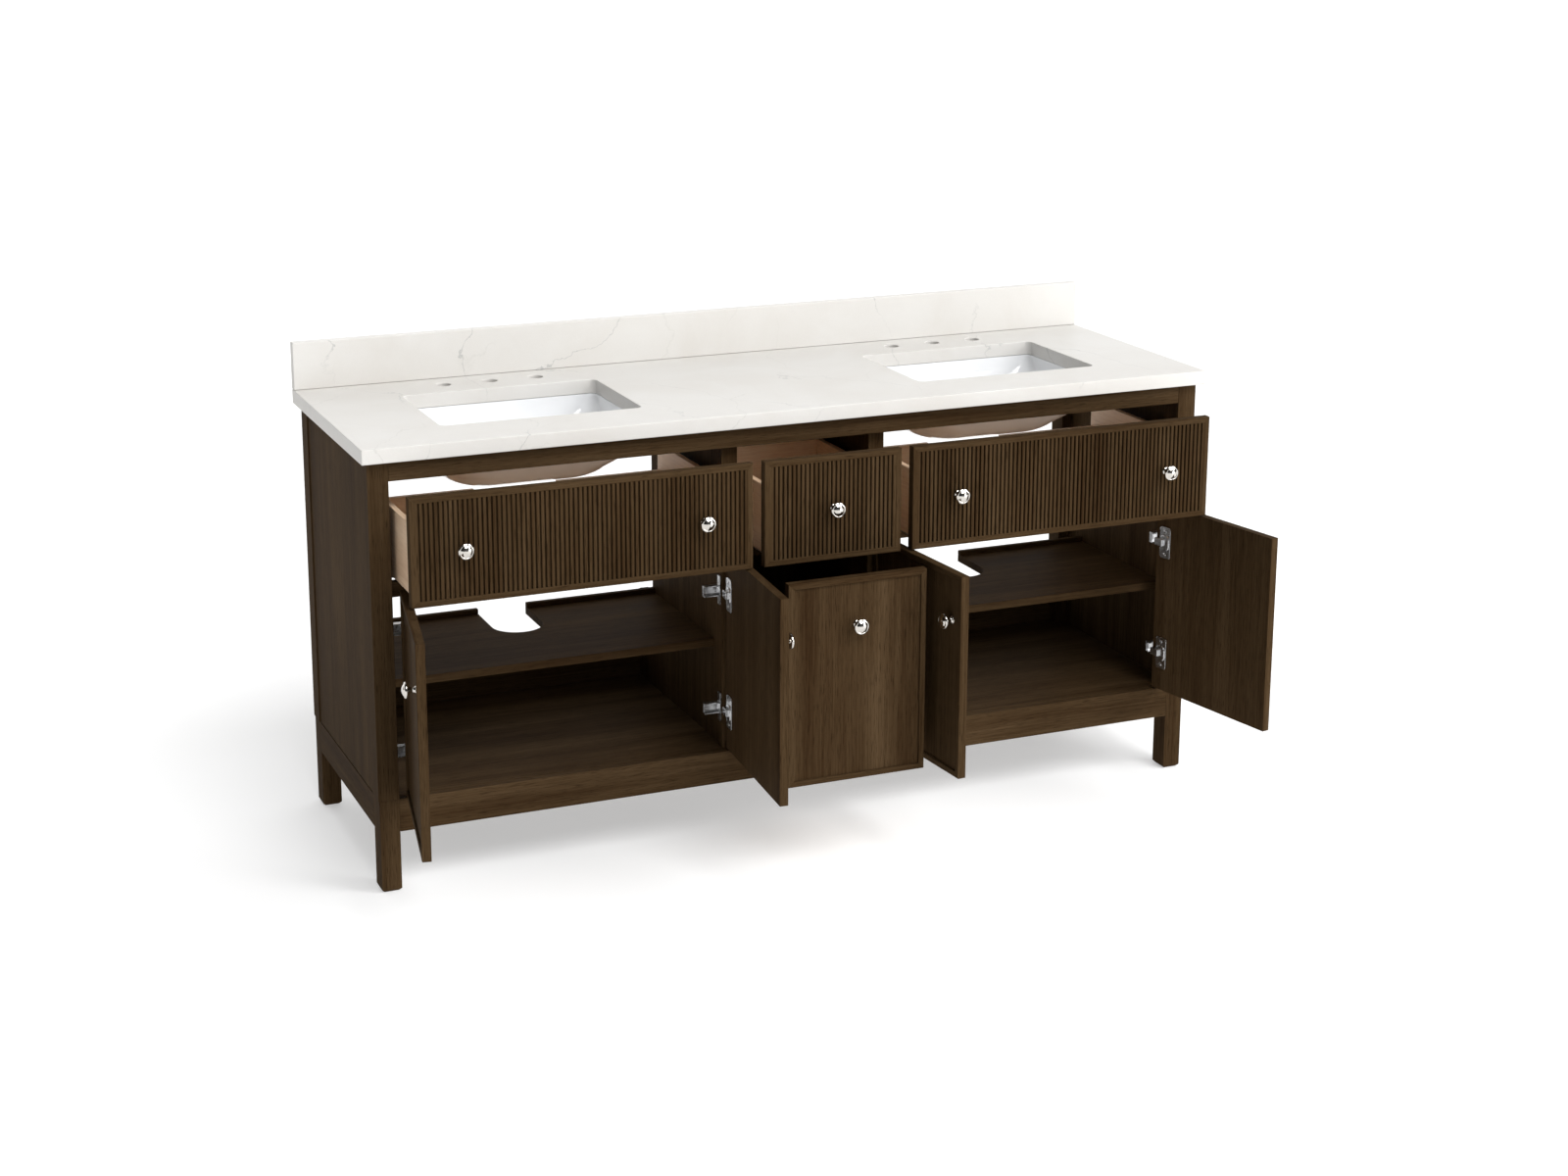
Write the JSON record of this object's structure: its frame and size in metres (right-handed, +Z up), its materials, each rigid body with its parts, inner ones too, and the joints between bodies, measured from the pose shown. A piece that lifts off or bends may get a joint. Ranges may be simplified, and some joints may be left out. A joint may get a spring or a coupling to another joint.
{
  "type": "bathroom vanity cabinet",
  "caption": "Freestanding bathroom vanity: stone top and backsplash, undermounted wash bowls, fluted sliding drawers, a deep drawer and inset doors over shelved cupboards.",
  "frame": {"origin": "on the floor, under the middle of the object's box with the drawers pulled and the doors open as at rest", "axes": "+X to the right seen from the front, +Y to the wall, +Z up"},
  "size_m": [1.871, 0.8962, 1.007],
  "materials": {
    "stained_wood": "dark brown stain, satin lacquer, straight fine grain",
    "light_wood": "clear lacquered pale hardwood",
    "quartz": "polished white with thin grey veins",
    "glazed_ceramic": "white gloss glaze",
    "nickel": "polished nickel plate",
    "zinc": "nickel-plated steel"
  },
  "bodies": {
    "cabinet": {"countertop": "quartz", "backsplash": "quartz", "sink_left": "glazed_ceramic", "sink_right": "glazed_ceramic", "post_front_left": "stained_wood", "post_back_left": "stained_wood", "side_panel_left": "stained_wood", "post_front_right": "stained_wood", "post_back_right": "stained_wood", "side_panel_right": "stained_wood", "top_rail_front": "stained_wood", "top_rail_back": "stained_wood", "divider_left": "stained_wood", "divider_right": "stained_wood", "mid_rail_centre": "stained_wood", "mid_rail_left": "stained_wood", "mid_rail_right": "stained_wood", "bottom_panel": "stained_wood", "back_panel": "stained_wood", "centre_back_panel": "stained_wood", "leg_front_left": "stained_wood", "leg_front_right": "stained_wood", "base_rail_front": "stained_wood", "leg_back_left": "stained_wood", "leg_back_right": "stained_wood", "base_rail_back": "stained_wood", "base_rail_left": "stained_wood", "base_rail_right": "stained_wood", "shelf_left": "stained_wood", "shelf_right": "stained_wood", "hinge_door_1_lower": "zinc", "hinge_door_1_upper": "zinc", "hinge_door_2_lower": "zinc", "hinge_door_2_upper": "zinc", "hinge_door_3_lower": "zinc", "hinge_door_3_upper": "zinc", "hinge_door_4_lower": "zinc", "hinge_door_4_upper": "zinc"},
    "drawer_left": {"drawer_front_left": "stained_wood", "drawer_box_left": "light_wood", "knob_drawer_left_a": "nickel", "knob_drawer_left_b": "nickel"},
    "drawer_right": {"drawer_front_right": "stained_wood", "drawer_box_right": "light_wood", "knob_drawer_right_a": "nickel", "knob_drawer_right_b": "nickel"},
    "drawer_centre": {"drawer_front_centre": "stained_wood", "drawer_box_centre": "light_wood", "knob_drawer_centre": "nickel"},
    "drawer_deep": {"drawer_front_deep": "stained_wood", "drawer_box_deep": "light_wood", "knob_drawer_deep": "nickel"},
    "door_1": {"door_1_panel": "stained_wood", "knob_door_1": "nickel"},
    "door_2": {"door_2_panel": "stained_wood", "knob_door_2": "nickel"},
    "door_3": {"door_3_panel": "stained_wood", "knob_door_3": "nickel"},
    "door_4": {"door_4_panel": "stained_wood", "knob_door_4": "nickel"}
  },
  "joints": [
    {"name": "drawer_left_slide", "type": "slide", "parent": "cabinet", "child": "drawer_left", "axis": [0, -1, 0], "range_m": [-0.129, 0.271]},
    {"name": "drawer_right_slide", "type": "slide", "parent": "cabinet", "child": "drawer_right", "axis": [0, -1, 0], "range_m": [-0.129, 0.271]},
    {"name": "drawer_centre_slide", "type": "slide", "parent": "cabinet", "child": "drawer_centre", "axis": [0, -1, 0], "range_m": [-0.129, 0.171]},
    {"name": "drawer_deep_slide", "type": "slide", "parent": "cabinet", "child": "drawer_deep", "axis": [0, -1, 0], "range_m": [-0.248, 0.102]},
    {"name": "door_1_hinge", "type": "hinge", "parent": "cabinet", "child": "door_1", "pos_m": [-0.8568, -0.11688, 0.406], "axis": [0, 0, -1], "range_deg": [-100.5, 9.5]},
    {"name": "door_2_hinge", "type": "hinge", "parent": "cabinet", "child": "door_2", "pos_m": [-0.1735, -0.10018, 0.406], "axis": [0, 0, 1], "range_deg": [-85.5, 0]},
    {"name": "door_3_hinge", "type": "hinge", "parent": "cabinet", "child": "door_3", "pos_m": [0.1735, -0.10018, 0.406], "axis": [0, 0, -1], "range_deg": [-85.5, 0]},
    {"name": "door_4_hinge", "type": "hinge", "parent": "cabinet", "child": "door_4", "pos_m": [0.8568, -0.11688, 0.406], "axis": [0, 0, 1], "range_deg": [-100.5, 9.5]}
  ]
}
